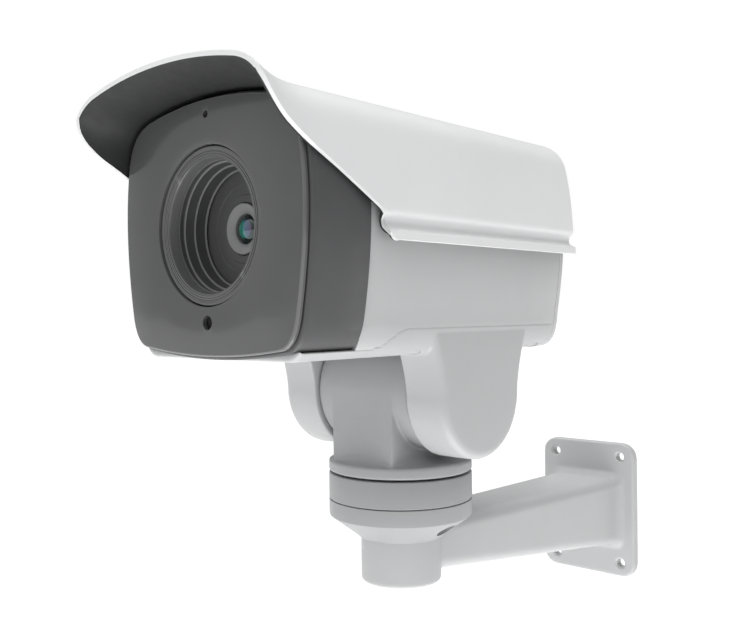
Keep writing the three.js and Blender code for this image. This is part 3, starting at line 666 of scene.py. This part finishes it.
def yoke():
    skin = Skin(HEAD)
    skin.loft(tray(0, -112.5, HOUSING_REAR))
    outer, inner, edge = 50.5, 28.9, 4
    for side in (1, -1):
        stations = [(inner, 0.5), (inner + 0.5, 0)]
        for step in range(9):
            angle = math.pi / 2 * step / 8
            stations.append((outer - edge + edge * math.sin(angle), edge * (1 - math.cos(angle))))
        skin.loft([[(side * x, y, z) for y, z in ear_outline(inset)] for x, inset in stations])
    made = melt(skin.object("yoke_casting", [WHITE]), 0.7, 3)
    tools = [bar("x", 28.6, -28.6, 28.6, (0, 0), HEAD, 128)]
    tools.append(Skin(HEAD).loft([outline(0.955, y) for y in (-140, 0, 90)]).object("tool", []))
    for x, y, top in TRAY_SCREWS.values():
        tools.append(bar("z", 4.2, 10, top + 0.3, (x, y), HEAD, 40))
    return cut(made, *tools, angle=40)


def screw_place(node):
    """The screw's centre in (x, y) and the height of its top."""
    low, high = spans(node)
    return (low[0] + high[0]) / 2 - HEAD[0], (low[1] + high[1]) / 2 - HEAD[1], high[2] - HEAD[2]


TRAY_SCREWS = {node: screw_place(node) for node in NODES if node.startswith("tray_screw_")}
piece(yoke(), "head", "shell_white", "tilt_yoke")
for node, (x, y, top) in TRAY_SCREWS.items():
    profile = [(0, top), (3.4, top), (3.4, top - 0.7), (3.1, top - 1)]
    profile += [(1.5, top - 1), (1.4, top - 0.4), (0, top - 0.4)]
    screw = lathe(node.replace("tray_screw", "screw_head"), profile, [STEEL], "z", HEAD, (x, y), 40)
    piece(screw, "head", "steel", node)

# ---- Front: bezel, seal, window, lens surround ----

bezel = along("bezel_frame", [
    (0.93, BEZEL_REAR), (0.995, BEZEL_REAR), (1.0, BEZEL_REAR - 0.5), (1.0, -95), (1.0, BEZEL_FRONT + 2.2),
    (0.998, BEZEL_FRONT + 1.1), (0.992, BEZEL_FRONT + 0.35), (0.983, BEZEL_FRONT), (0.945, BEZEL_FRONT),
    (0.943, BEZEL_FRONT + 1.2), (0.905, BEZEL_FRONT + 1.2), (0.905, BEZEL_FRONT), (0.87, BEZEL_FRONT),
    (0.87, BEZEL_FRONT + 3), (0.93, BEZEL_FRONT + 5),
], [BEZEL], caps=False)
cut(bezel, Skin(HEAD).loft(tray(0.3, -112.8, 0)).object("tool", []))
piece(bezel, "head", "bezel_dark", "front_bezel")
window_seal = along("window_seal", [
    (0.91, BEZEL_FRONT - 0.2), (0.94, BEZEL_FRONT - 0.2), (0.941, BEZEL_FRONT + 0.2),
    (0.94, BEZEL_FRONT + 0.7), (0.91, BEZEL_FRONT + 0.7),
], [RUBBER], caps=False)
piece(window_seal, "head", "seal_rubber", "front_seal")

MICROPHONE_Z = 116.4
SENSOR_Z = 34


def window():
    """The raised window: a bevelled rim, a round opening for the lens and two small holes."""
    back = BEZEL_FRONT - 0.5
    rim = [(0.975, back), (0.975, WINDOW_FRONT + 1.0), (0.9725, WINDOW_FRONT + 0.45)]
    rim += [(0.967, WINDOW_FRONT + 0.12), (0.960, WINDOW_FRONT)]
    rings = [outline(scale, y) for scale, y in rim]
    angles = [math.atan2(z - LENS_Z, x) for x, y, z in rings[0]]
    opening = ((32.5, WINDOW_FRONT), (32.1, WINDOW_FRONT + 0.15), (32, WINDOW_FRONT + 0.5), (32, back))
    for radius, y in opening:
        rings.append([(radius * math.cos(a), y, LENS_Z + radius * math.sin(a)) for a in angles])
    made = Skin(HEAD).loft(rings + rings[:1], caps=False).object("window_panel", [WINDOW, WINDOW_BEVEL_HIGHLIGHT])
    holes = ((1.5, MICROPHONE_Z, 32), (2.9, SENSOR_Z, 48))
    cut(made, *(bar("y", radius, -130, -100, (0, z), HEAD, sides) for radius, z, sides in holes))
    # the forward-slanting bevel faces away from the lens take the lighter copy: painted highlight
    for polygon in made.data.polygons:
        across = math.hypot(polygon.center.x * MM - HEAD[0], polygon.center.z * MM - HEAD[2] - LENS_Z)
        polygon.material_index = int(across > 40 and -0.97 < polygon.normal.y < -0.25)
    return made


piece(window(), "head", "window_smoked", "front_window")
for name, radius, height in (("microphone", 2.6, MICROPHONE_Z - 1), ("light_sensor", 3.4, SENSOR_Z)):
    front, back = (corner[1] - HEAD[1] for corner in spans(name))
    dish = [(0, front + 1.4), (radius * 0.45, front + 1.2), (radius * 0.8, front + 0.4)]
    dish += [(radius - 0.3, front), (radius, front + 0.3), (radius, back), (0, back)]
    capsule = lathe(name + "_capsule", dish, [BLACK], "y", HEAD, (0, height), 48)
    piece(capsule, "head", "black_plastic", name)


def grooved(start, end, place, count, depth):
    """Fine concentric ridges between two radii."""
    pitch = (end - start) / count
    out = []
    for k in range(count):
        a = start + pitch * k
        out += [(a, place), (a + pitch * 0.55, place)]
        out += [(a + pitch * 0.65, place + depth), (a + pitch * 0.95, place + depth)]
    return out


def round_lens(name, profile, materials, slot, node, sides=128, marks=None):
    """A turned piece about the lens axis."""
    made = lathe(name, profile, materials, "y", HEAD, (0, LENS_Z), sides, marks)
    piece(made, "head", slot, node)


FACE = WINDOW_FRONT
trim = [(31.6, FACE + 6), (31.6, FACE + 1.5), (31.3, FACE + 1.1), (30.7, FACE + 1.0)]
trim += grooved(30.2, 27.4, FACE + 1.2, 3, 0.25) + [(27.0, FACE + 1.5), (26.6, FACE + 2.2), (26.6, FACE + 6)]
round_lens("trim_ring", trim, [TRIM], "bezel_dark", "lens_trim_ring", 160)

# the recess: three steps, each with a light rim at its foot, a painted highlight on the dark plastic
surround = [(29, FACE + 6.3), (26.9, FACE + 6.3), (26.5, FACE + 6.6)]
rim_highlights = [0, 0, 0]
for radius, depth in ((26, 3.2), (24.9, 7.6), (23.8, 12.4)):
    foot = FACE + 6.3 + depth
    surround += [(radius + 0.9, foot - 1.0), (radius + 0.75, foot - 0.6), (radius + 0.15, foot - 0.5)]
    surround += [(radius, foot - 0.3), (radius, foot)]
    rim_highlights += [0, 1, 1, 0, 0]
surround += [(26.5, FACE + 18.7), (29, FACE + 12.3)]
rim_highlights += [0, 0]
round_lens("recess_rings", surround, [RECESS, RIM], "bezel_dark", "lens_surround", 160, rim_highlights)

recess_disc = [(11, 1), (14, 1), (14.3, 1.3), (18, 1.3), (18.3, 1), (26, 1), (26, 2.5), (11, 2.5)]
recess_disc = [(radius, LENS_FRONT + depth) for radius, depth in recess_disc]
round_lens("recess_disc", recess_disc, [MASK], "black_plastic", "lens_mask")
face_ring = [(10.3, 0), (10.6, 0.4), (10.6, 4), (6.3, 4), (6.3, 1.6), (6.6, 1.2), (9.2, 0.1)]
face_ring = [(radius, LENS_FRONT + depth) for radius, depth in face_ring]
round_lens("lens_face_ring", face_ring, [RETAINER], "retainer_grey", "lens_retainer")
dome = [(0, LENS_FRONT + 0.6)]
for k in range(1, 8):
    angle = 0.15 * k
    dome.append((6 * math.sin(angle), LENS_FRONT + 0.6 + 1.98 * (1 - math.cos(angle)) / (1 - math.cos(1.2))))
dome += [(6, LENS_FRONT + 3), (6, LENS_FRONT + 4), (0, LENS_FRONT + 4)]
round_lens("front_lens_dome", dome, [LENS], "lens_glass", "front_lens", 96)

# ---- Sunshield ----

# half of the outer section as (x, z): lip, groove, side and crown
OUTER = [
    (62.2, 65.3), (62.2, 67.2), (62.2, 69.2), (58.4, 69.6), (58.4, 72), (58.4, 74.6), (61, 75.4), (60.4, 92),
    (57.4, 106), (55.2, 118.6), (42, 122.2), (22, 126.9), (0, 126.9),
]
# the lower edge as (y, z) from the lip's front end up to the peak
CUT = [(-72, 64.7)] + curve([(-72, 64.7), (-77, 64.7), (-77.5, 69), (-78, 75), (-82, 77.5)], 8)[1:]
CUT += [(-82 - 45 * k / 12, 77.5 + 26.5 * k / 12) for k in range(1, 13)]
CUT += curve([(-127, 104), (SHADE_TIP + 2, 111), (SHADE_TIP, 121)], 10)[1:]
SHEET = 2
RIM_WALL = 2.8
FLARE_START = -112
HALF_POINTS = 70  # points along half of the section


def shade_section(y, foot):
    """The outer line of the sunshield's right half above a foot height, from the foot to the crown."""
    flare = max(0, (FLARE_START - y) / (FLARE_START - SHADE_TIP)) ** 2
    wider, taller = 1 + 0.09 * flare, 1 + 0.10 * flare
    line = [(x * wider, SHADE_FOOT + (z - SHADE_FOOT) * taller) for x, z in curve(OUTER, 14)]
    above = [point for point in line if point[1] > foot + 1e-6]
    below = [point for point in line if point[1] <= foot + 1e-6]
    if below:
        (x0, z0), (x1, z1) = below[-1], above[0]
        above.insert(0, (x0 + (x1 - x0) * (foot - z0) / (z1 - z0), foot))
    return above


def shell_ring(y, foot, wall, inset=0.0):
    """Outer line, round rim, inner line, round rim: one closed ring of the sunshield."""
    outer = even(shade_section(y, foot + 0.3), HALF_POINTS)
    normals = []
    for k in range(HALF_POINTS):
        a, b = outer[max(0, k - 1)], outer[min(HALF_POINTS - 1, k + 1)]
        dx, dz = b[0] - a[0], b[1] - a[1]
        size = math.hypot(dx, dz)
        normals.append((-dz / size, dx / size))
    normals[-1] = (0, -1)
    side = 1 if normals[5][0] < 0 else -1

    def shift(depth):
        step = side * depth
        return [(x + step * nx, z + step * nz) for (x, z), (nx, nz) in zip(outer, normals)]

    out, inner = shift(inset), shift(wall - inset)
    foot_x, foot_z = (out[0][0] + inner[0][0]) / 2, min(out[0][1], inner[0][1]) - 0.3
    ring = [(x, y, z) for x, z in out] + [(-x, y, z) for x, z in reversed(out[:-1])]
    ring.append((-foot_x, y, foot_z))
    ring += [(-x, y, z) for x, z in inner] + [(x, y, z) for x, z in reversed(inner[:-1])]
    ring.append((foot_x, y, foot_z))
    return ring


def wall_at(y):
    """The sheet's thickness, with a thicker folded rim round the peak."""
    return SHEET + (RIM_WALL - SHEET) * min(1, max(0, (-104 - y) / 14))


def foot_at(y):
    """The height of the lower edge."""
    if y >= CUT[0][0]:
        return SHADE_FOOT
    for (y0, z0), (y1, z1) in zip(CUT, CUT[1:]):
        if y1 <= y <= y0:
            return z0 + (z1 - z0) * (y - y0) / (y1 - y0) if y0 != y1 else z1
    return CUT[-1][1]


def sunshield():
    stations = [SHADE_REAR - 0.5, SHADE_REAR - 2, 40, 0, -40, -66, -71.9]
    stations += sorted({y for y, z in CUT[1:]}, reverse=True)[:-1]
    rings = [shell_ring(SHADE_REAR, SHADE_FOOT, SHEET, 0.5)]
    rings += [shell_ring(y, foot_at(y), wall_at(y)) for y in stations]
    rings.append(shell_ring(SHADE_TIP + 0.4, foot_at(SHADE_TIP + 0.4), RIM_WALL))
    rings.append(shell_ring(SHADE_TIP, CUT[-1][1], RIM_WALL, 0.5))
    # each ring holds the outer line, a foot point, the inner line and a foot point
    count = len(rings[0])
    line = 2 * HALF_POINTS - 1
    # the inner line's faces take the near-black underside colour
    marks = [int(line < k < count - 1) for k in range(count)]
    skin = Skin(HEAD)
    skin.loft(rings, caps=False, marks=marks)
    # the two ends: a strip across the wall's thickness
    for start in (0, (len(rings) - 1) * count):
        last = start + count - 1
        for k in range(line - 1):
            skin.face((start + k, start + k + 1, last - k - 2, last - k - 1))
        skin.face((last, start, last - 1))
        skin.face((start + line - 1, start + line, start + line + 1))
    return skin.object("sunshield_shell", [SHADE_WHITE, UNDERSIDE_DARK], 40)


piece(sunshield(), "shade", "shell_white", "sunshield")

# ---- Carried-over inner pieces ----

FINISH = {
    "black_plastic": BLACK, "seal_rubber": RUBBER, "steel": STEEL, "brass": BRASS, "lens_glass": LENS,
    "retainer_grey": RETAINER, "board_green": BOARD, "gear_nylon": NYLON, "bezel_dark": BEZEL,
    "window_smoked": WINDOW, "shell_white": WHITE, "casting_white": CASTING,
}
for entry in frame["record"]["subparts"]:
    node = NODES[entry["node"]]
    node.data.materials.clear()
    node.data.materials.append(FINISH[entry["material_slot"]])

# ---- Floor, light and camera ----


def floor():
    mesh = bpy.data.meshes.new("floor")
    size, drop = 30, -0.42
    corners = [(-size, -size, drop), (size, -size, drop), (size, size, drop), (-size, size, drop)]
    mesh.from_pydata(corners, [], [(0, 1, 2, 3)])
    made = bpy.data.objects.new("floor", mesh)
    bpy.context.scene.collection.objects.link(made)
    surface = Nodes("pale_floor")
    tint = surface.blend(surface.spread(surface.noise(3), 0, 1), (0.90, 0.90, 0.90), (0.92, 0.92, 0.92))
    surface.link(tint, surface.shader.inputs["Base Color"])
    surface.set(Roughness=0.9, Specular_IOR_Level=0.0, Emission_Color=(1, 1, 1, 1), Emission_Strength=0.15)
    mesh.materials.append(surface.material)


floor()

SKY_LEVEL = 2.0
SIDE_LEVEL = 0.2


def world():
    """A soft sky, dark at eye level, bright overhead and lit from the left; the camera sees white."""
    made = bpy.data.worlds.new("studio")
    made.use_nodes = True
    bpy.context.scene.world = made
    tree = made.node_tree
    back = tree.nodes["Background"]
    place = tree.nodes.new("ShaderNodeTexCoord")
    split = tree.nodes.new("ShaderNodeSeparateXYZ")
    tree.links.new(place.outputs["Generated"], split.inputs[0])
    ramp = tree.nodes.new("ShaderNodeValToRGB")
    shift = tree.nodes.new("ShaderNodeMapRange")
    shift.inputs["From Min"].default_value = -1
    tree.links.new(split.outputs["Z"], shift.inputs["Value"])
    tree.links.new(shift.outputs["Result"], ramp.inputs["Fac"])
    stops = [(0.0, 0.04), (0.5, 0.04), (0.75, 0.17), (0.9, 0.6), (1.0, 0.9)]
    ramp.color_ramp.elements[0].color = (stops[0][1],) * 3 + (1,)
    ramp.color_ramp.elements[1].color = (stops[-1][1],) * 3 + (1,)
    for where, level in stops[1:-1]:
        ramp.color_ramp.elements.new(where).color = (level, level, level, 1)
    side = tree.nodes.new("ShaderNodeVectorMath")
    side.operation = "DOT_PRODUCT"
    side.inputs[1].default_value = (-0.70, -0.66, 0.25)
    tree.links.new(place.outputs["Generated"], side.inputs[0])
    lobe = tree.nodes.new("ShaderNodeMapRange")
    lobe.inputs["To Max"].default_value = SIDE_LEVEL
    tree.links.new(side.outputs["Value"], lobe.inputs["Value"])
    total = tree.nodes.new("ShaderNodeMath")
    total.operation = "ADD"
    tree.links.new(ramp.outputs["Color"], total.inputs[0])
    tree.links.new(lobe.outputs["Result"], total.inputs[1])
    tree.links.new(total.outputs[0], back.inputs["Color"])
    back.inputs["Strength"].default_value = SKY_LEVEL
    seen = tree.nodes.new("ShaderNodeBackground")
    seen.inputs["Color"].default_value = (1, 1, 1, 1)
    mix = tree.nodes.new("ShaderNodeMixShader")
    rays = tree.nodes.new("ShaderNodeLightPath")
    tree.links.new(rays.outputs["Is Camera Ray"], mix.inputs[0])
    tree.links.new(back.outputs[0], mix.inputs[1])
    tree.links.new(seen.outputs[0], mix.inputs[2])
    tree.links.new(mix.outputs[0], tree.nodes["World Output"].inputs["Surface"])


world()


def lamp(name, place, aim, size, power):
    data = bpy.data.lights.new(name, "AREA")
    data.shape = "RECTANGLE"
    data.size, data.size_y = size
    data.energy = power
    made = bpy.data.objects.new(name, data)
    made.location = place
    made.rotation_euler = (Vector(aim) - Vector(place)).to_track_quat("-Z", "Y").to_euler()
    bpy.context.scene.collection.objects.link(made)


lamp("soft_top", (0.1, -0.2, 1.6), (0, -0.18, 0.11), (1.2, 1.2), 4)
lamp("soft_low", (0.1, -0.25, -0.4), (0, -0.18, 0.11), (0.5, 0.5), 2)


PHOTO_WIDTH = 739  # pixels
FOCAL = 886.9  # pixels
EYE = (0.28165, -0.52781, 0.12726)  # metres
TURN = (42.042, 0.05, -0.598)  # azimuth, elevation and roll in degrees


def camera():
    """The photograph's camera, as found from points measured in it."""
    data = bpy.data.cameras.new("camera")
    data.sensor_fit = "HORIZONTAL"
    data.sensor_width = 36
    data.lens = FOCAL * data.sensor_width / PHOTO_WIDTH
    azimuth, elevation, roll = (math.radians(value) for value in TURN)
    right = Vector((math.cos(azimuth), math.sin(azimuth), 0))
    level = math.cos(elevation)
    back = Vector((math.sin(azimuth) * level, -math.cos(azimuth) * level, math.sin(elevation)))
    up = back.cross(right)
    across = right * math.cos(roll) + up * math.sin(roll)
    above = up * math.cos(roll) - right * math.sin(roll)
    turn = Matrix((across, above, back)).transposed()
    made = bpy.data.objects.new("camera", data)
    made.matrix_world = Matrix.Translation(EYE) @ turn.to_4x4()
    bpy.context.scene.collection.objects.link(made)
    bpy.context.scene.camera = made


camera()
bpy.context.scene.view_settings.view_transform = "Standard"
